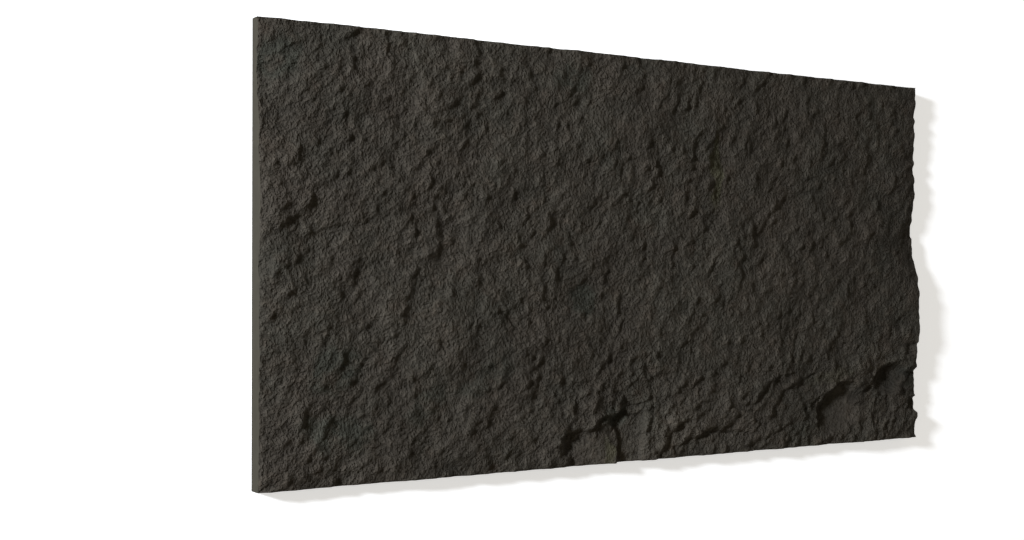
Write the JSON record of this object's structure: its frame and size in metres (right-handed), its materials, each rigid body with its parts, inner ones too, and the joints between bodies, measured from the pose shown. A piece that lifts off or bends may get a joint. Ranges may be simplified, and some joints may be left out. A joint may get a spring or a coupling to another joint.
{
  "type": "faux stone wall panel",
  "caption": "Rectangular moulded wall panel with a split rock face, a chipped lower edge, planar butt-joint edges and a flat back for bonding to a wall.",
  "frame": {"origin": "centre of the flat back, which lies on the floor in storage and is bonded to the wall in use", "axes": "+X along the panel's length, +Y up the wall across its width, +Z out of the rock face"},
  "size_m": [1.2, 0.6, 0.0372],
  "materials": {
    "panel": "matt dark brown-grey mineral paint on a rough moulded rigid foam skin"
  },
  "bodies": {
    "root": {"stone_panel": "panel"}
  },
  "joints": []
}
